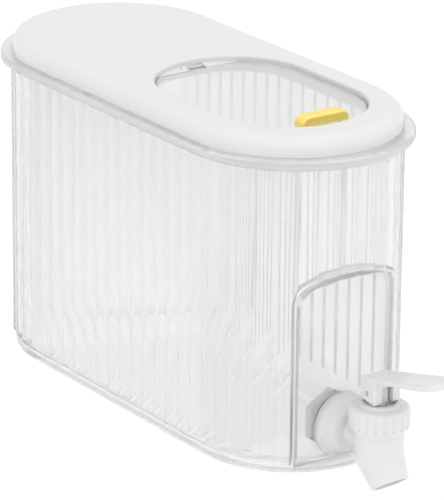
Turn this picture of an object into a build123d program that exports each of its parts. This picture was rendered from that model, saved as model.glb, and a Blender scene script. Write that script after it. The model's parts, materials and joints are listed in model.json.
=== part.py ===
"""Fridge water jug with tap: a fluted clear tank, a white lid with a flip hatch, and a lever tap.

Millimetres, +Z up. The origin is on the surface that the jug stands on, under the middle of the
tank. +X runs along the tank towards the tap.
"""
from build123d import *
import os
from math import cos, pi, radians, sin, tan

os.makedirs("parts", exist_ok=True)

# Clearances and overruns
SLIP = 0.3                      # gap between pieces that move past each other
SEAT = 0.1                      # gap between pieces that are pushed together
RUNNING = 0.05                  # radial gap of a pin that turns in its bore
OVERRUN = 5.0                   # how far a cutting shape runs past what it cuts

# Tank
TANK_LENGTH = 270.0             # over the crowns of the flutes
TANK_WIDTH = 112.0
FOOT_HEIGHT = 4.0               # the middle of the tank's floor reaches this far below its edge
FOOT_INSET = 14.0
FOOT_ROUND = 1.2
BODY_HEIGHT = 162.0             # from the tank's underside to the collar
BAND_HEIGHT = 8.0               # plain band below the flutes
BAND_INSET = 1.4                # the band stands this far inside the crowns
BAND_ROUND = 4.0
FLUTE_DEPTH = 1.1
FLUTE_END = 2.0                 # slope at the lower ends of the flutes
SIDE_FLUTES = 15
END_FLUTES = 16
WALL = 2.2
FLOOR_THICK = 3.0
CAVITY_ROUND = 5.0
COLLAR_OUT = 5.2                # the collar stands this far outside the crowns
COLLAR_HEIGHT = 4.6
COLLAR_ROUND = 1.4

# Flat arched pocket that the tap is fixed in
POCKET_DEPTH = 13.8
POCKET_WIDTH = 59.0
POCKET_LEDGE = 3.2              # thickness of the ledge under the pocket
POCKET_SPRING = 96.0            # height where the sides turn into the arch, above the tank's underside
POCKET_CROWN = 103.0
POCKET_CORNER = 11.0
POCKET_ROUND = 2.5

# Lid
LID_END_SET = 2.7               # the lid's ends stand this far inside the tank's ends
LID_SIDE_LAP = 0.7              # the lid's sides stand this far outside the tank's crowns
LID_RISE = 10.4
LID_SHOULDER = 6.0
LID_WALL = 2.0
PLUG_DEPTH = 5.4                # how far the lid reaches into the tank
PLUG_GAP = 1.2
PLUG_WALL = 2.0
LINER_THICK = 2.0
OPENING_LENGTH = 125.6
OPENING_SIDE = 15.4             # from the lid's side to the opening
OPENING_FRONT = 18.5            # from the lid's front end to the opening
OPENING_LIP = 1.2
RECESS_DEPTH = 5.2              # from the lid's top to the ledge that the hatch lies on
LEDGE_WIDTH = 2.0
LEDGE_THICK = 1.0
GASKET_HEIGHT = 2.6
GASKET_DEPTH = 0.9
GASKET_LIP = 0.7
SEAL_WIDTH = 1.6
SEAL_HEIGHT = 0.6

# Hatch
HATCH_THICK = 1.8
HATCH_GAP = 0.9                 # round the hatch
HATCH_ROUND = 0.5
HINGE_SET = 4.5                 # hinge axis from the opening's rear end
HINGE_DEPTH = 3.2               # hinge axis below the lid's top
HINGE_ROOM = 0.6                # below the knuckle
HATCH_SET = 4.6                 # hinge axis to the hatch's rear edge
HINGE_PIN = 0.7                 # radius
HINGE_KNUCKLE = 1.6             # radius
KNUCKLE_LENGTH = 10.0
EAR_LENGTH = 2.6
TAB_WIDTH = 29.0
TAB_THICK = 7.5
TAB_RISE = 5.2
TAB_SET = 7.9                   # from the opening's front end to the tab
TAB_CORNER = 4.5
TAB_ROUND = 1.2
PEG_RADIUS = 1.6
PEG_SPACING = 18.0

# Tap body
TAP_REACH = 32.8                # from the flat panel to the chamber's axis
SHANK_HEIGHT = 20.6             # shank axis above the tank's underside
SHANK_RADIUS = 7.5
SHANK_BORE = 5.0
THREAD_DEPTH = 0.6
THREAD_PITCH = 2.0
THREAD_TURNS = 6
FLANGE_RADIUS = 16.8
FLANGE_EDGE = 2.4
FLANGE_STEP_RADIUS = 15.2
FLANGE_DOME_RADIUS = 11.0
FLANGE_DOME_LENGTH = 7.0
FLANGE_NECK_LENGTH = 2.5
CHAMBER_RADIUS = 12.6
CHAMBER_BORE = 10.0
CHAMBER_UP = 15.4               # chamber's top above the shank axis
CHAMBER_DOWN = 4.6              # valve seat below the shank axis
SEAT_THICK = 2.4
SEAT_BORE = 5.6
NOZZLE_TILT = 35.0              # degrees from straight down
NOZZLE_LENGTH = 17.4
NOZZLE_RADIUS = 9.8
NOZZLE_BORE = 8.2

# Tap bonnet, valve and lever
BONNET_RADIUS = 15.4
BONNET_HEIGHT = 9.8
BONNET_SKIRT = 4.4              # sloping lower edge
BONNET_TOP_THICK = 3.6
BONNET_ROUND = 1.8
BONNET_GRIPS = 20
GRIP_RADIUS = 1.5
GRIP_DEPTH = 0.6
BOSS_RADIUS = 10.6
BOSS_HEIGHT = 2.2
DIAPHRAGM_THICK = 1.4
STEM_RADIUS = 3.0
STEM_HEAD_WIDTH = 5.0
STEM_HEAD_RADIUS = 3.2          # round top of the head, about the pin
PLUG_RADIUS = 8.2
PLUG_HEIGHT = 4.4
PLUG_NOSE = 1.6
SPRING_RADIUS = 5.2
SPRING_WIRE = 0.45
SPRING_TURNS = 5.0
SPRING_WASHER_RADIUS = 8.6
SPRING_WASHER_THICK = 0.6
PIN_RADIUS = 1.5
PIN_RISE = 5.6                  # pin above the bonnet's boss
CHEEK_WIDTH = 16.5              # over both cheeks
CHEEK_THICK = 4.8
CHEEK_LENGTH = 12.0
CHEEK_HEEL_RISE = 1.6           # the cheeks' rear lower corner above the front one
LEVER_TILT = 13.5               # degrees above level
LEVER_ROOT_RISE = 7.3           # lever's top above the pin, at its rear end
LEVER_THICK = 3.2
LEVER_GAP = 0.4                 # between the stem's head and the lever above it
LEVER_REACH = 54.0              # from the pin to the tip
LEVER_HALF_WIDTH = 9.8
LEVER_DISH = 0.8
LEVER_DISH_RADIUS = 60.0
LEVER_ROUND = 1.0
LEVER_WIDEST_SHARE = 0.56       # of the reach, where the leaf is widest
LEVER_DISH_SHARE = 0.62         # of the reach, where the thumb's hollow is deepest
LEVER_FLARE_SHARE = 0.1         # slope of the leaf's sides where it starts

# Fixing of the tap
OUTER_WASHER = 1.5
INNER_WASHER = 2.0
WASHER_RADIUS = 14.5
NUT_THICK = 6.0
NUT_FLATS = 28.0
NUT_COLLAR = 1.6

# Worked out from the sizes above
CROWN_RADIUS = TANK_WIDTH / 2
GROOVE_RADIUS = CROWN_RADIUS - FLUTE_DEPTH
BAND_RADIUS = CROWN_RADIUS - BAND_INSET
INNER_RADIUS = GROOVE_RADIUS - WALL
COLLAR_RADIUS = CROWN_RADIUS + COLLAR_OUT
HALF_STRAIGHT = (TANK_LENGTH - TANK_WIDTH) / 2
BASE_Z = FOOT_HEIGHT
BAND_TOP = BASE_Z + BAND_HEIGHT
COLLAR_Z = BASE_Z + BODY_HEIGHT
RIM_Z = COLLAR_Z + COLLAR_HEIGHT
FLAT_X = TANK_LENGTH / 2 - POCKET_DEPTH
POCKET_Z = BASE_Z + POCKET_LEDGE

LID_LENGTH = TANK_LENGTH - 2 * LID_END_SET
LID_WIDTH = TANK_WIDTH + 2 * LID_SIDE_LAP
LID_RADIUS = LID_WIDTH / 2
LID_HALF = (LID_LENGTH - LID_WIDTH) / 2
LID_Z = RIM_Z + SEAT
LID_TOP = LID_Z + LID_RISE
OPENING_WIDTH = LID_WIDTH - 2 * OPENING_SIDE
OPEN_RADIUS = OPENING_WIDTH / 2
OPEN_HALF = (OPENING_LENGTH - OPENING_WIDTH) / 2
OPEN_FRONT_X = LID_LENGTH / 2 - OPENING_FRONT
OPEN_X = OPEN_FRONT_X - OPENING_LENGTH / 2
OPEN_REAR_X = OPEN_FRONT_X - OPENING_LENGTH
LEDGE_Z = LID_TOP - RECESS_DEPTH
SEAL_TOP = LEDGE_Z + SEAL_HEIGHT
HATCH_Z = SEAL_TOP + SEAT
HATCH_TOP = HATCH_Z + HATCH_THICK
HINGE_X = OPEN_REAR_X + HINGE_SET
HINGE_Z = LID_TOP - HINGE_DEPTH
HATCH_REAR_X = HINGE_X + HATCH_SET
PLUG_OUT = INNER_RADIUS - PLUG_GAP
TAB_X = OPEN_FRONT_X - TAB_SET - TAB_THICK / 2

TAP_X = FLAT_X + TAP_REACH
SHANK_Z = BASE_Z + SHANK_HEIGHT
FLANGE_X = FLAT_X + OUTER_WASHER
SEAT_Z = SHANK_Z - CHAMBER_DOWN
NECK_TOP = SHANK_Z + CHAMBER_UP
BONNET_Z = NECK_TOP + DIAPHRAGM_THICK + BONNET_TOP_THICK - BONNET_HEIGHT
BONNET_TOP = BONNET_Z + BONNET_HEIGHT
BOSS_TOP = BONNET_TOP + BOSS_HEIGHT
PIN_Z = BOSS_TOP + PIN_RISE
PLUG_Z = SEAT_Z + SEAT
THREAD_X = FLAT_X - WALL - INNER_WASHER - NUT_THICK - THREAD_PITCH


def slab(half, radius, low, high, centre=0.0):
    """A solid with straight sides and round ends, between two heights."""
    return extrude(Pos(centre, 0, low) * SlotCenterToCenter(2 * half, 2 * radius), high - low)


def band(half, outer, inner, low, high, centre=0.0):
    """A ring with straight sides and round ends."""
    return slab(half, outer, low, high, centre) - slab(half, inner, low, high, centre)


def turned(points, axis):
    """A solid turned about an axis from the corner points of its half section."""
    plane = Plane.XZ if axis == Axis.Z else Plane.XY
    return revolve(plane * make_face(Polyline(points, close=True)), axis)


def rod(radius, length, place):
    """A round rod that is centred at a place and lies along Y."""
    return place * Rot(90, 0, 0) * Cylinder(radius, length)


def save(shape, node):
    """Writes one node."""
    shape.label = node
    export_step(shape, "parts/" + node + ".step")


def flute_arcs():
    """Start, middle and end points of every flute's arc, once round the tank."""
    pitch = 2 * HALF_STRAIGHT / SIDE_FLUTES
    step = pi / END_FLUTES
    half_round = []
    for k in range(SIDE_FLUTES):
        start = -HALF_STRAIGHT + k * pitch
        half_round.append([(start, -GROOVE_RADIUS), (start + pitch / 2, -CROWN_RADIUS),
                           (start + pitch, -GROOVE_RADIUS)])
    for k in range(END_FLUTES):
        arc = []
        for share, radius in ((0, GROOVE_RADIUS), (0.5, CROWN_RADIUS), (1, GROOVE_RADIUS)):
            angle = (k + share) * step - pi / 2
            arc.append((HALF_STRAIGHT + radius * cos(angle), radius * sin(angle)))
        half_round.append(arc)
    return half_round + [[(-x, -y) for x, y in arc] for arc in half_round]


def fluted_wall():
    """The fluted part of the tank, solid, with its flutes sloping in at their lower ends."""
    outline = make_face([ThreePointArc(*arc) for arc in flute_arcs()])
    prism = extrude(Pos(0, 0, BAND_TOP) * outline, COLLAR_Z - BAND_TOP)
    envelope = slab(HALF_STRAIGHT, CROWN_RADIUS + SLIP, BAND_TOP, COLLAR_Z)
    lower = envelope.faces().sort_by(Axis.Z)[0]
    return prism & chamfer(lower.edges(), FLUTE_END + SLIP)


def pocket(grow):
    """The arched pocket for the tap, grown by a wall where it shapes the inside of the tank."""
    half = POCKET_WIDTH / 2 + grow
    low = POCKET_Z - grow
    spring = BASE_Z + POCKET_SPRING + grow
    crown = BASE_Z + POCKET_CROWN + grow
    outline = [Polyline((-half, spring), (-half, low), (half, low), (half, spring)),
               ThreePointArc((half, spring), (0, crown), (-half, spring))]
    face = fillet(make_face(outline).vertices().group_by(Axis.Y)[-1], POCKET_CORNER + grow)
    back = Plane(origin=(FLAT_X - grow, 0, 0), x_dir=(0, 1, 0), z_dir=(1, 0, 0))
    tool = extrude(back * face, POCKET_DEPTH + grow + OVERRUN)
    return fillet(tool.faces().sort_by(Axis.X)[0].edges(), POCKET_ROUND + grow)


def make_tank():
    """Clear tank: fluted wall, plain band, collar, stepped floor and the tap's flat panel."""
    lower = slab(HALF_STRAIGHT, BAND_RADIUS, BASE_Z, BAND_TOP)
    lower = fillet(lower.faces().sort_by(Axis.Z)[0].edges(), BAND_ROUND)
    collar = slab(HALF_STRAIGHT, COLLAR_RADIUS, COLLAR_Z, RIM_Z)
    collar = fillet(collar.faces().sort_by(Axis.Z)[0].edges(), COLLAR_ROUND)
    collar = fillet(collar.faces().sort_by(Axis.Z)[-1].edges(), COLLAR_ROUND)
    body = lower + fluted_wall() + collar - pocket(0)
    cavity = slab(HALF_STRAIGHT, INNER_RADIUS, BASE_Z + FLOOR_THICK, RIM_Z + OVERRUN)
    cavity = fillet(cavity.faces().sort_by(Axis.Z)[0].edges(), CAVITY_ROUND)
    foot_radius = BAND_RADIUS - FOOT_INSET
    foot = slab(HALF_STRAIGHT, foot_radius, 0, BASE_Z + FLOOR_THICK)
    foot = fillet(foot.faces().sort_by(Axis.Z)[0].edges(), FOOT_ROUND)
    well = slab(HALF_STRAIGHT, foot_radius - FLOOR_THICK, FLOOR_THICK, BASE_Z + 2 * FLOOR_THICK)
    well = fillet(well.faces().sort_by(Axis.Z)[0].edges(), FOOT_ROUND)
    body = body + foot - (cavity - pocket(WALL)) - well
    hole = Pos(FLAT_X, 0, SHANK_Z) * Rot(0, 90, 0) * Cylinder(SHANK_RADIUS + SLIP, 2 * POCKET_DEPTH)
    return body - hole


def make_lid_cover():
    """White outer shell of the lid, with the opening and the wall of its recess."""
    shell = slab(LID_HALF, LID_RADIUS, LID_Z, LID_TOP)
    shell = fillet(shell.faces().sort_by(Axis.Z)[-1].edges(), LID_SHOULDER)
    hollow = slab(LID_HALF, LID_RADIUS - LID_WALL, LID_Z, LID_TOP - LID_WALL)
    hollow = fillet(hollow.faces().sort_by(Axis.Z)[-1].edges(), LID_SHOULDER - LID_WALL)
    shell -= hollow
    shell += slab(OPEN_HALF, OPEN_RADIUS + LID_WALL, LEDGE_Z + SEAT, LID_TOP, OPEN_X)
    shell -= slab(OPEN_HALF, OPEN_RADIUS, LEDGE_Z, LID_TOP + OVERRUN, OPEN_X)
    top = shell.faces().sort_by(Axis.Z)[-1]
    return fillet(top.inner_wires()[0].edges(), OPENING_LIP)


def hatch_layer(inset, rear, low, high):
    """A flat layer with the opening's outline, drawn in by an inset and cut off straight at its rear."""
    layer = slab(OPEN_HALF, OPEN_RADIUS - inset, low, high, OPEN_X)
    room = Box(OPENING_LENGTH, OPENING_WIDTH, high - low)
    return layer & Pos(rear + OPENING_LENGTH / 2, 0, (low + high) / 2) * room


def make_lid_liner():
    """Inner half of the lid: plate, plug wall, neck, the ledge for the hatch and its hinge block."""
    plate = slab(LID_HALF, LID_RADIUS - LID_WALL - SEAT, LID_Z, LID_Z + LINER_THICK)
    plug = band(HALF_STRAIGHT, PLUG_OUT, PLUG_OUT - PLUG_WALL, LID_Z - PLUG_DEPTH, LID_Z)
    groove_low = LID_Z - PLUG_DEPTH / 2 - GASKET_HEIGHT / 2
    groove = band(HALF_STRAIGHT, PLUG_OUT + OVERRUN, PLUG_OUT - GASKET_DEPTH, groove_low,
                  groove_low + GASKET_HEIGHT)
    neck_in = OPEN_RADIUS + LID_WALL + SEAT
    neck = slab(OPEN_HALF, neck_in + LINER_THICK, LID_Z, LEDGE_Z, OPEN_X)
    hollow = slab(OPEN_HALF, neck_in, LID_Z, LEDGE_Z - LEDGE_THICK, OPEN_X)
    way = hatch_layer(LEDGE_WIDTH, HATCH_REAR_X + LEDGE_WIDTH, LID_Z, LID_TOP)
    liner = plate + plug - groove + neck + hinge_block() - hollow - way
    slot_low = HINGE_Z - HINGE_KNUCKLE - HINGE_ROOM
    slot_rear = HINGE_X - HINGE_KNUCKLE - SLIP
    slot = Box(HATCH_REAR_X - slot_rear, KNUCKLE_LENGTH + 2 * SLIP, LID_TOP - slot_low)
    liner -= Pos((HATCH_REAR_X + slot_rear) / 2, 0, (LID_TOP + slot_low) / 2) * slot
    return liner - make_hinge_pin()


def make_hinge_pin():
    """Steel pin of the hatch, pressed into the two ears."""
    return rod(HINGE_PIN, KNUCKLE_LENGTH + 2 * (SLIP + EAR_LENGTH), Pos(HINGE_X, 0, HINGE_Z))


def hinge_block():
    """Fixed piece that closes the opening's rear end, with the two ears that hold the hinge pin."""
    block = slab(OPEN_HALF, OPEN_RADIUS - SEAT, LEDGE_Z, HATCH_TOP, OPEN_X)
    rear_half = Box(OPENING_LENGTH, OPENING_WIDTH, 2 * RECESS_DEPTH)
    block &= Pos(HATCH_REAR_X - SLIP - OPENING_LENGTH / 2, 0, LEDGE_Z) * rear_half
    return block + rod(HINGE_KNUCKLE, KNUCKLE_LENGTH + 2 * (SLIP + EAR_LENGTH), Pos(HINGE_X, 0, HINGE_Z))


def make_lid_gasket():
    """Silicone seal round the lid's plug, with two lips that reach for the tank's wall."""
    low = LID_Z - PLUG_DEPTH / 2 - GASKET_HEIGHT / 2 + SEAT
    high = low + GASKET_HEIGHT - 2 * SEAT
    inner = PLUG_OUT - GASKET_DEPTH + SEAT
    seal = band(HALF_STRAIGHT, PLUG_OUT, inner, low, high)
    for lip_low in (low, high - GASKET_LIP):
        seal += band(HALF_STRAIGHT, INNER_RADIUS - SLIP, inner, lip_low, lip_low + GASKET_LIP)
    return seal


def make_hatch_gasket():
    """Silicone ring that the hatch closes on."""
    ring = hatch_layer(SEAT, HATCH_REAR_X, LEDGE_Z, SEAL_TOP)
    return ring - hatch_layer(SEAL_WIDTH, HATCH_REAR_X + SEAL_WIDTH, LEDGE_Z, SEAL_TOP)


def make_hatch_window():
    """Clear hatch with its hinge knuckle and the holes for the tab's pegs."""
    window = hatch_layer(HATCH_GAP, HATCH_REAR_X, HATCH_Z, HATCH_TOP)
    window = fillet(window.faces().sort_by(Axis.Z)[-1].edges(), HATCH_ROUND)
    tongue_length = HATCH_SET + HATCH_THICK
    tongue_thick = HATCH_THICK - HATCH_ROUND
    tongue = Box(tongue_length, KNUCKLE_LENGTH, tongue_thick)
    tongue = Pos(HINGE_X + tongue_length / 2, 0, HATCH_Z + tongue_thick / 2) * tongue
    window = window + tongue + rod(HINGE_KNUCKLE, KNUCKLE_LENGTH, Pos(HINGE_X, 0, HINGE_Z))
    window -= rod(HINGE_PIN + RUNNING, KNUCKLE_LENGTH + 2 * SLIP, Pos(HINGE_X, 0, HINGE_Z))
    for side in (-1, 1):
        spot = Pos(TAB_X, side * PEG_SPACING / 2, HATCH_Z + HATCH_THICK / 2)
        window -= spot * Cylinder(PEG_RADIUS + RUNNING, 2 * HATCH_THICK)
    return window


def make_hatch_tab():
    """Gold pull tab with two pegs that snap through the hatch."""
    side = RectangleRounded(TAB_WIDTH, 2 * TAB_RISE, TAB_CORNER)
    plane = Plane(origin=(TAB_X - TAB_THICK / 2, 0, HATCH_TOP), x_dir=(0, 1, 0), z_dir=(1, 0, 0))
    tab = extrude(plane * side, TAB_THICK)
    tab = fillet(tab.faces().filter_by(Axis.X).edges(), TAB_ROUND)
    lower = Pos(TAB_X, 0, HATCH_TOP - TAB_RISE) * Box(TAB_WIDTH, 2 * TAB_WIDTH, 2 * TAB_RISE)
    tab -= lower
    for peg_side in (-1, 1):
        spot = Pos(TAB_X, peg_side * PEG_SPACING / 2, HATCH_TOP - HATCH_THICK / 2)
        tab += spot * Cylinder(PEG_RADIUS, HATCH_THICK)
    return tab


def make_tap_body():
    """One moulding: threaded tail, flange, shank, valve chamber and slanted nozzle."""
    points = [(THREAD_X, 0), (THREAD_X, SHANK_RADIUS - THREAD_DEPTH)]
    for k in range(THREAD_TURNS):
        start = THREAD_X + k * THREAD_PITCH + THREAD_PITCH / 4
        points += [(start, SHANK_RADIUS - THREAD_DEPTH), (start + THREAD_PITCH / 4, SHANK_RADIUS),
                   (start + THREAD_PITCH / 2, SHANK_RADIUS),
                   (start + THREAD_PITCH * 3 / 4, SHANK_RADIUS - THREAD_DEPTH)]
    dome_x = FLANGE_X + FLANGE_EDGE + FLANGE_DOME_LENGTH
    points += [(FLANGE_X, SHANK_RADIUS - THREAD_DEPTH), (FLANGE_X, FLANGE_RADIUS),
               (FLANGE_X + FLANGE_EDGE, FLANGE_RADIUS), (FLANGE_X + FLANGE_EDGE, FLANGE_STEP_RADIUS),
               (dome_x, FLANGE_DOME_RADIUS), (dome_x + FLANGE_NECK_LENGTH, FLANGE_DOME_RADIUS),
               (dome_x + FLANGE_NECK_LENGTH, SHANK_RADIUS), (TAP_X, SHANK_RADIUS), (TAP_X, 0)]
    shank = Pos(0, 0, SHANK_Z) * turned(points, Axis.X)
    elbow = Pos(TAP_X, 0, SEAT_Z)
    lean = elbow * Rot(0, -NOZZLE_TILT, 0)
    chamber = Pos(TAP_X, 0, (NECK_TOP + SEAT_Z) / 2) * Cylinder(CHAMBER_RADIUS, NECK_TOP - SEAT_Z)
    nozzle = lean * Pos(0, 0, -NOZZLE_LENGTH / 2) * Cone(NOZZLE_RADIUS, CHAMBER_RADIUS, NOZZLE_LENGTH)
    body = shank + chamber + elbow * Sphere(CHAMBER_RADIUS) + nozzle
    valve = NECK_TOP - SEAT_Z + OVERRUN
    body -= Pos(TAP_X, 0, SEAT_Z + valve / 2) * Cylinder(CHAMBER_BORE, valve)
    body -= Pos(TAP_X, 0, SEAT_Z - SEAT_THICK / 2) * Cylinder(SEAT_BORE, 2 * SEAT_THICK)
    outlet_start = SEAT_THICK + NOZZLE_BORE * sin(radians(NOZZLE_TILT))
    outlet = NOZZLE_LENGTH - outlet_start + OVERRUN
    body -= lean * Pos(0, 0, -outlet_start - outlet / 2) * Cylinder(NOZZLE_BORE, outlet)
    length = TAP_X - THREAD_X
    inlet = Pos(THREAD_X + length / 2, 0, SHANK_Z) * Rot(0, 90, 0)
    return body - inlet * Cylinder(SHANK_BORE, length)


def make_bonnet():
    """Screw cap of the valve chamber, gripped round its edge, with the boss that the lever heels on."""
    neck = CHAMBER_RADIUS + SEAT
    skirt_z = BONNET_Z - BONNET_SKIRT
    ceiling = BONNET_TOP - BONNET_TOP_THICK
    bore = STEM_RADIUS + SLIP
    points = [(neck, skirt_z), (BONNET_RADIUS, BONNET_Z), (BONNET_RADIUS, BONNET_TOP),
              (BOSS_RADIUS, BONNET_TOP), (BOSS_RADIUS, BOSS_TOP), (BOSS_RADIUS - BOSS_HEIGHT, BOSS_TOP),
              (BOSS_RADIUS - BOSS_HEIGHT, BONNET_TOP), (bore, BONNET_TOP), (bore, ceiling), (neck, ceiling)]
    bonnet = turned(points, Axis.Z)
    crown = [e for e in bonnet.edges().filter_by(GeomType.CIRCLE)
             if abs(e.radius - BONNET_RADIUS) < SEAT and abs(e.center().Z - BONNET_TOP) < SEAT]
    bonnet = fillet(crown, BONNET_ROUND)
    grip = Cylinder(GRIP_RADIUS, 2 * BONNET_HEIGHT)
    grip = Pos(BONNET_RADIUS + GRIP_RADIUS - GRIP_DEPTH, 0, BONNET_TOP) * grip
    for k in range(BONNET_GRIPS):
        bonnet -= Rot(0, 0, (k + 0.5) * 360 / BONNET_GRIPS) * grip
    return Pos(TAP_X, 0, 0) * bonnet


def make_diaphragm():
    """Silicone disc clamped under the bonnet, which seals the stem."""
    disc = Cylinder(CHAMBER_RADIUS - SEAT, DIAPHRAGM_THICK)
    disc -= Cylinder(STEM_RADIUS + RUNNING, DIAPHRAGM_THICK)
    return Pos(TAP_X, 0, NECK_TOP + DIAPHRAGM_THICK / 2) * disc


def make_stem():
    """Valve stem with its flat head for the lever pin and a collar above the plug."""
    low = PLUG_Z + PLUG_HEIGHT / 2
    shaft_top = BOSS_TOP
    shaft = Pos(TAP_X, 0, (low + shaft_top) / 2) * Cylinder(STEM_RADIUS, shaft_top - low)
    head_height = PIN_Z - shaft_top
    head = Box(2 * STEM_HEAD_RADIUS, STEM_HEAD_WIDTH, head_height)
    head = Pos(TAP_X, 0, shaft_top + head_height / 2) * head
    stem = shaft + head + rod(STEM_HEAD_RADIUS, STEM_HEAD_WIDTH, Pos(TAP_X, 0, PIN_Z))
    return stem - rod(PIN_RADIUS + RUNNING, STEM_HEAD_WIDTH + 2 * SLIP, Pos(TAP_X, 0, PIN_Z))


def make_plug():
    """Silicone valve plug on the stem's lower end, with a nose that sits in the valve seat."""
    low = PLUG_Z + PLUG_HEIGHT / 2
    high = PLUG_Z + PLUG_HEIGHT
    points = [(0, PLUG_Z - PLUG_NOSE), (SEAT_BORE - PLUG_NOSE, PLUG_Z - PLUG_NOSE),
              (SEAT_BORE - SLIP, PLUG_Z), (PLUG_RADIUS, PLUG_Z), (PLUG_RADIUS, low),
              (STEM_RADIUS + PLUG_NOSE, high), (STEM_RADIUS, high), (STEM_RADIUS, low), (0, low)]
    return Pos(TAP_X, 0, 0) * turned(points, Axis.Z)


def make_spring_washer():
    """Steel washer between the spring and the diaphragm."""
    ring = Cylinder(SPRING_WASHER_RADIUS, SPRING_WASHER_THICK)
    ring -= Cylinder(STEM_RADIUS + SLIP, SPRING_WASHER_THICK)
    return Pos(TAP_X, 0, NECK_TOP - SPRING_WASHER_THICK / 2) * ring


def make_spring():
    """Steel coil that pushes the plug down on its seat."""
    low = PLUG_Z + PLUG_HEIGHT + SPRING_WIRE + SEAT
    high = NECK_TOP - SPRING_WASHER_THICK - SPRING_WIRE - SEAT
    path = Helix((high - low) / SPRING_TURNS, high - low, SPRING_RADIUS)
    coil = sweep(Plane(origin=path @ 0, z_dir=path % 0) * Circle(SPRING_WIRE), path)
    return Pos(TAP_X, 0, low) * coil


def lever_outline():
    """Plan outline of the lever: a narrow root between the cheeks and a leaf for the thumb."""
    root = CHEEK_WIDTH / 2
    wide = (LEVER_REACH * LEVER_WIDEST_SHARE, LEVER_HALF_WIDTH)
    neck = (CHEEK_LENGTH / 2, root)
    near_side = [Line((-CHEEK_LENGTH / 2, root), neck),
                 Spline(neck, wide, (LEVER_REACH, 0), tangents=[(1, LEVER_FLARE_SHARE), (0, -1)])]
    far_side = [mirror(edge, Plane.XZ) for edge in near_side]
    return make_face(near_side + far_side + [Line((-CHEEK_LENGTH / 2, root), (-CHEEK_LENGTH / 2, -root))])


def make_lever():
    """Thumb lever with two cheeks astride the stem's head."""
    half = CHEEK_LENGTH / 2
    rise = tan(radians(LEVER_TILT))
    tilt = Pos(-half, 0, LEVER_ROOT_RISE) * Rot(0, -LEVER_TILT, 0) * Pos(half, 0, 0)
    leaf = extrude(lever_outline(), -LEVER_THICK)
    leaf = tilt * fillet(leaf.edges(), LEVER_ROUND)
    heel = -PIN_RISE + SLIP
    side = Polyline((-half, LEVER_ROOT_RISE), (-half, heel + CHEEK_HEEL_RISE), (half, heel),
                    (half, LEVER_ROOT_RISE + CHEEK_LENGTH * rise), close=True)
    cheek_block = extrude(Plane.XZ * make_face(side), CHEEK_WIDTH / 2, both=True)
    cheek_block = fillet(cheek_block.edges(), LEVER_ROUND)
    gap_top = STEM_HEAD_RADIUS + LEVER_GAP
    gap_height = gap_top - heel + OVERRUN
    gap = Box(2 * CHEEK_LENGTH, CHEEK_WIDTH - 2 * CHEEK_THICK, gap_height)
    gap = Pos(0, 0, gap_top - gap_height / 2) * gap
    dish_x = LEVER_REACH * LEVER_DISH_SHARE
    dish = tilt * Pos(dish_x, 0, LEVER_DISH_RADIUS - LEVER_DISH) * Sphere(LEVER_DISH_RADIUS)
    lever = leaf + cheek_block - gap - dish - rod(PIN_RADIUS, 2 * CHEEK_WIDTH, Pos(0, 0, 0))
    return Pos(TAP_X, 0, PIN_Z) * lever


def make_washer(x, thick):
    """Silicone washer on the tap's threaded tail."""
    ring = Cylinder(WASHER_RADIUS, thick) - Cylinder(SHANK_RADIUS + SEAT, thick)
    return Pos(x + thick / 2, 0, SHANK_Z) * Rot(0, 90, 0) * ring


def make_nut():
    """Six-sided nut inside the tank, with a round collar against its washer."""
    length = NUT_THICK - NUT_COLLAR
    hexagon = RegularPolygon(NUT_FLATS / 2, 6, major_radius=False)
    body = extrude(hexagon, -length)
    collar = Pos(0, 0, NUT_COLLAR / 2) * Cylinder(WASHER_RADIUS, NUT_COLLAR)
    nut = body + collar - Cylinder(SHANK_RADIUS + SEAT, 2 * NUT_THICK)
    return Pos(FLAT_X - WALL - INNER_WASHER - NUT_COLLAR, 0, SHANK_Z) * Rot(0, 90, 0) * nut


save(make_tank(), "tank")
save(make_lid_cover(), "lid_cover")
save(make_lid_liner(), "lid_liner")
save(make_lid_gasket(), "lid_gasket")
save(make_hatch_gasket(), "hatch_gasket")
save(make_hinge_pin(), "hatch_hinge_pin")
save(make_hatch_window(), "hatch_window")
save(make_hatch_tab(), "hatch_tab")
save(make_tap_body(), "tap_body")
save(make_washer(FLAT_X, OUTER_WASHER), "tap_outer_washer")
save(make_washer(FLAT_X - WALL - INNER_WASHER, INNER_WASHER), "tap_inner_washer")
save(make_nut(), "tap_lock_nut")
save(make_bonnet(), "tap_bonnet")
save(make_diaphragm(), "valve_diaphragm")
save(make_stem(), "valve_stem")
save(make_plug(), "valve_plug")
save(make_spring_washer(), "spring_washer")
save(make_spring(), "valve_spring")
save(make_lever(), "tap_lever")
save(rod(PIN_RADIUS, CHEEK_WIDTH, Pos(TAP_X, 0, PIN_Z)), "lever_pin")
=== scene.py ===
"""Looks of the fridge water jug with tap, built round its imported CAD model. Metres, +Z up."""
import json
import math

import bpy
from mathutils import Matrix, Vector


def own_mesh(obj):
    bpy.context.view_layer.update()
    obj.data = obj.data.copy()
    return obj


# Camera, fitted to the tank's outline in the photograph
CAMERA_AZIMUTH = 54.294
CAMERA_ELEVATION = 19.983
CAMERA_ROLL = 0.582
CAMERA_DISTANCE = 1.977682
CAMERA_TARGET = Vector((0.018968, 0.0, 0.085762))
CAMERA_CLIP = (0.01, 100.0)
FOCAL_PX = 3817.648
LONG_SIDE_PX = 500
SENSOR_MM = 36.0

# Studio
FULL_WHITE = (1.0, 1.0, 1.0, 1.0)
FLOOR_HALF = 12.0
FLOOR_COLOUR = (0.1, 0.1, 0.1, 1.0)
FLOOR_ROUGH = 0.9
FLOOR_SHINE = 0.1
FLOOR_GLOW = 0.95
SKY_BASE = 0.85
SKY_KEY = 0.43                   # how much brighter the surround is in the key direction
SKY_FACING = (-0.2, 1.0)         # cosine of the angle to the key direction, over which it brightens
KEY_DIRECTION = Vector((0.45, -0.15, 0.88))

# Middle range of a noise, which is spread over the wanted values
NOISE_RANGE = (0.35, 0.65)

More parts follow.
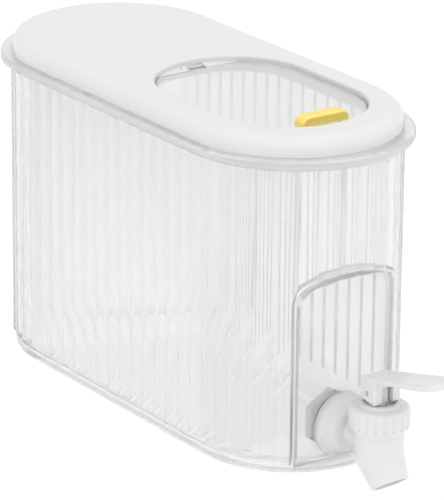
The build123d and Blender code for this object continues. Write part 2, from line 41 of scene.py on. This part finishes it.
# Moulded white plastic and silicone
WHITE = (0.74, 0.74, 0.74, 1.0)
WHITE_ROUGH = (0.28, 0.38)
WHITE_GRAIN = 900.0
WHITE_BUMP = 0.08
WHITE_COAT = 0.25
SILICONE = (0.74, 0.74, 0.73, 1.0)
SILICONE_ROUGH = (0.45, 0.6)
SILICONE_GRAIN = 1500.0
SILICONE_BUMP = 0.15
SILICONE_COAT = 0.0
MOULDED_IOR = 1.5
MOULDED_COAT_ROUGH = 0.08
MOULDED_CLOUD = (35.0, 3.0)      # scale and detail of the noise that varies the sheen
MOULDED_GRAIN_DETAIL = 4.0
MOULDED_BUMP_DEPTH = 0.0001

# Clear plastic
CLEAR_SHARE = 0.79
CLEAR_IOR = 1.3
CLEAR_COAT = 0.5
CLEAR_COAT_ROUGH = 0.05
CLEAR_ROUGH = (0.06, 0.12)
CLEAR_CLOUD = (22.0, 2.0)
CLEAR_WAVE = (60.0, 1.0)         # scale and detail of the flow waves
CLEAR_BUMP = 0.15
CLEAR_BUMP_DEPTH = 0.0002
GROOVE_PAINTED_SHADE = 0.68              # colour at the bottom of the grooves and other creases, a painted shade that makes them read darker
GROOVE_SHARP = (0.36, 0.485)     # pointiness of a groove's bottom and of a flat face
FROST = 0.35                     # added roughness of the tank's collar
FROST_BLEND = 0.001
COLLAR_LOW = 0.1652
COLLAR_HIGH = 0.1718

# Gold-coated plastic and steel
GOLD = (1.0, 0.78, 0.2, 1.0)
GOLD_METALLIC = 0.45
GOLD_ROUGH = (0.12, 0.2)
GOLD_GRAIN = 40.0
STEEL = (0.6, 0.6, 0.61, 1.0)
STEEL_METALLIC = 1.0
STEEL_ROUGH = (0.22, 0.34)
STEEL_GRAIN = 300.0
METAL_CLOUD_DETAIL = 3.0
METAL_FINE_SHARE = 20            # the fine grain's scale over the sheen's
METAL_FINE_DETAIL = 2.0
METAL_BUMP = 0.1
METAL_BUMP_DEPTH = 0.00005


def new_material(name, **values):
    """A node material and its principled shader, with the given values on the shader's own sockets."""
    made = bpy.data.materials.new(name)
    made.use_nodes = True
    shader = made.node_tree.nodes["Principled BSDF"]
    set_inputs(shader, values)
    return made, made.node_tree, shader


def set_inputs(target, values):
    """Sets a node's inputs by name, where an underscore stands for a space."""
    for key, value in values.items():
        target.inputs[key.replace("_", " ")].default_value = value


def node(tree, kind, **values):
    """Adds a node and sets its inputs."""
    made = tree.nodes.new(kind)
    set_inputs(made, values)
    return made


def object_noise(tree, scale, detail):
    """Noise in the object's own metres."""
    place = tree.nodes.new("ShaderNodeTexCoord")
    noise = node(tree, "ShaderNodeTexNoise", Scale=scale, Detail=detail)
    tree.links.new(place.outputs["Object"], noise.inputs["Vector"])
    return noise.outputs["Fac"]


def remap(tree, source, old, new):
    """Maps one range of values to another."""
    made = node(tree, "ShaderNodeMapRange", From_Min=old[0], From_Max=old[1], To_Min=new[0], To_Max=new[1])
    tree.links.new(source, made.inputs["Value"])
    return made.outputs["Result"]


def math_node(tree, operation, first, second):
    """Joins two values by one operation."""
    made = tree.nodes.new("ShaderNodeMath")
    made.operation = operation
    tree.links.new(first, made.inputs[0])
    tree.links.new(second, made.inputs[1])
    return made.outputs["Value"]


def bump(tree, shader, height, strength, distance):
    """Adds a bump to a shader's normal."""
    made = node(tree, "ShaderNodeBump", Strength=strength, Distance=distance)
    tree.links.new(height, made.inputs["Height"])
    tree.links.new(made.outputs["Normal"], shader.inputs["Normal"])


def moulded(name, colour, rough, grain, strength, coat):
    """Moulded plastic or rubber: its sheen varies and its skin has a fine grain."""
    made, tree, shader = new_material(
        name, Base_Color=colour, IOR=MOULDED_IOR, Coat_Weight=coat, Coat_Roughness=MOULDED_COAT_ROUGH)
    cloud = object_noise(tree, *MOULDED_CLOUD)
    tree.links.new(remap(tree, cloud, NOISE_RANGE, rough), shader.inputs["Roughness"])
    bump(tree, shader, object_noise(tree, grain, MOULDED_GRAIN_DETAIL), strength, MOULDED_BUMP_DEPTH)
    return made


def clear_plastic():
    """Clear moulded plastic, faintly milky, with painted shade darkening the grooves and other creases,
    flow waves and a frosted collar.
    """
    made, tree, shader = new_material(
        "clear_plastic", IOR=CLEAR_IOR, Transmission_Weight=CLEAR_SHARE, Coat_Weight=CLEAR_COAT,
        Coat_Roughness=CLEAR_COAT_ROUGH)
    # Painted shade: the base colour darkens where the surface is concave, in the grooves and other
    # creases.
    edge = tree.nodes.new("ShaderNodeNewGeometry")
    painted_groove_shade = remap(tree, edge.outputs["Pointiness"], GROOVE_SHARP, (GROOVE_PAINTED_SHADE, 1.0))
    tree.links.new(painted_groove_shade, shader.inputs["Base Color"])
    skin = remap(tree, object_noise(tree, *CLEAR_CLOUD), NOISE_RANGE, CLEAR_ROUGH)
    place = tree.nodes.new("ShaderNodeTexCoord")
    height = tree.nodes.new("ShaderNodeSeparateXYZ")
    tree.links.new(place.outputs["Object"], height.inputs["Vector"])
    start, end = (remap(tree, height.outputs["Z"], (edge_z, edge_z + FROST_BLEND), (0.0, FROST))
                  for edge_z in (COLLAR_LOW, COLLAR_HIGH))
    frost = math_node(tree, "SUBTRACT", start, end)
    tree.links.new(math_node(tree, "ADD", skin, frost), shader.inputs["Roughness"])
    bump(tree, shader, object_noise(tree, *CLEAR_WAVE), CLEAR_BUMP, CLEAR_BUMP_DEPTH)
    return made


def metal(name, colour, share, rough, grain):
    """Metal, or plastic coated to look like it where the share is below one."""
    made, tree, shader = new_material(name, Base_Color=colour, Metallic=share)
    cloud = object_noise(tree, grain, METAL_CLOUD_DETAIL)
    tree.links.new(remap(tree, cloud, NOISE_RANGE, rough), shader.inputs["Roughness"])
    fine = object_noise(tree, grain * METAL_FINE_SHARE, METAL_FINE_DETAIL)
    bump(tree, shader, fine, METAL_BUMP, METAL_BUMP_DEPTH)
    return made


def make_materials():
    """One material per slot of the record."""
    return {
        "clear_plastic": clear_plastic(),
        "white_plastic": moulded("white_plastic", WHITE, WHITE_ROUGH, WHITE_GRAIN, WHITE_BUMP, WHITE_COAT),
        "gold_plastic": metal("gold_plastic", GOLD, GOLD_METALLIC, GOLD_ROUGH, GOLD_GRAIN),
        "silicone": moulded(
            "silicone", SILICONE, SILICONE_ROUGH, SILICONE_GRAIN, SILICONE_BUMP, SILICONE_COAT),
        "steel": metal("steel", STEEL, STEEL_METALLIC, STEEL_ROUGH, STEEL_GRAIN),
    }


def dress(materials):
    """Gives every CAD node its slot's material."""
    for part in frame["record"]["subparts"]:
        for slot in frame["nodes"][part["node"]].material_slots:
            slot.material = materials[part["material_slot"]]


def squash_spring():
    """Gives the coil its own copy of its mesh."""
    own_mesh(frame["nodes"]["valve_spring"])


def make_floor():
    """Pale floor that glows a little, so that it stays as white as the photograph's ground."""
    mesh = bpy.data.meshes.new("floor")
    outline = [(x * FLOOR_HALF, y * FLOOR_HALF, 0.0) for x, y in ((-1, -1), (1, -1), (1, 1), (-1, 1))]
    mesh.from_pydata(outline, [], [(0, 1, 2, 3)])
    floor = bpy.data.objects.new("floor", mesh)
    bpy.context.scene.collection.objects.link(floor)
    mesh.materials.append(new_material(
        "floor", Base_Color=FLOOR_COLOUR, Roughness=FLOOR_ROUGH, Specular_IOR_Level=FLOOR_SHINE,
        Emission_Color=FULL_WHITE, Emission_Strength=FLOOR_GLOW)[0])


def make_sky():
    """Soft white surround, brighter towards the key direction."""
    world = bpy.data.worlds.new("studio")
    bpy.context.scene.world = world
    world.use_nodes = True
    tree = world.node_tree
    place = tree.nodes.new("ShaderNodeTexCoord")
    facing = tree.nodes.new("ShaderNodeVectorMath")
    facing.operation = "DOT_PRODUCT"
    facing.inputs[1].default_value = KEY_DIRECTION.normalized()
    tree.links.new(place.outputs["Generated"], facing.inputs[0])
    level = remap(tree, facing.outputs["Value"], SKY_FACING, (SKY_BASE, SKY_BASE + SKY_KEY))
    tree.links.new(level, tree.nodes["Background"].inputs["Strength"])
    tree.nodes["Background"].inputs["Color"].default_value = FULL_WHITE


def make_camera():
    """Camera at the photograph's place."""
    azimuth, elevation, roll = (math.radians(v) for v in (CAMERA_AZIMUTH, CAMERA_ELEVATION, CAMERA_ROLL))
    back = Vector((math.sin(azimuth) * math.cos(elevation), -math.cos(azimuth) * math.cos(elevation),
                   math.sin(elevation)))
    right = Vector((math.cos(azimuth), math.sin(azimuth), 0.0))
    up = back.cross(right)
    turned_right = right * math.cos(roll) + up * math.sin(roll)
    turned_up = up * math.cos(roll) - right * math.sin(roll)
    data = bpy.data.cameras.new("camera")
    data.sensor_width = SENSOR_MM
    data.lens = FOCAL_PX / LONG_SIDE_PX * SENSOR_MM
    data.clip_start, data.clip_end = CAMERA_CLIP
    camera = bpy.data.objects.new("camera", data)
    turn = Matrix((turned_right, turned_up, back)).transposed().to_4x4()
    camera.matrix_world = Matrix.Translation(CAMERA_TARGET + back * CAMERA_DISTANCE) @ turn
    bpy.context.scene.collection.objects.link(camera)
    bpy.context.scene.camera = camera


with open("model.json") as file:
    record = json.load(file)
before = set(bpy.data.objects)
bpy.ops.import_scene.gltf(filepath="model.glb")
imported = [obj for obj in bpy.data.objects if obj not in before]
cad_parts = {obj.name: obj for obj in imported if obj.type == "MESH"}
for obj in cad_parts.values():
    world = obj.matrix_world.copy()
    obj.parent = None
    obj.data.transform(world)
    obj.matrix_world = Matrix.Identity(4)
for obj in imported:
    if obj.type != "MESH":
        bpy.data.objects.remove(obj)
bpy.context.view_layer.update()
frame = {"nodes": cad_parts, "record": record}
make_camera()
make_sky()
make_floor()
dress(make_materials())
squash_spring()
bpy.context.scene.view_settings.view_transform = "Standard"
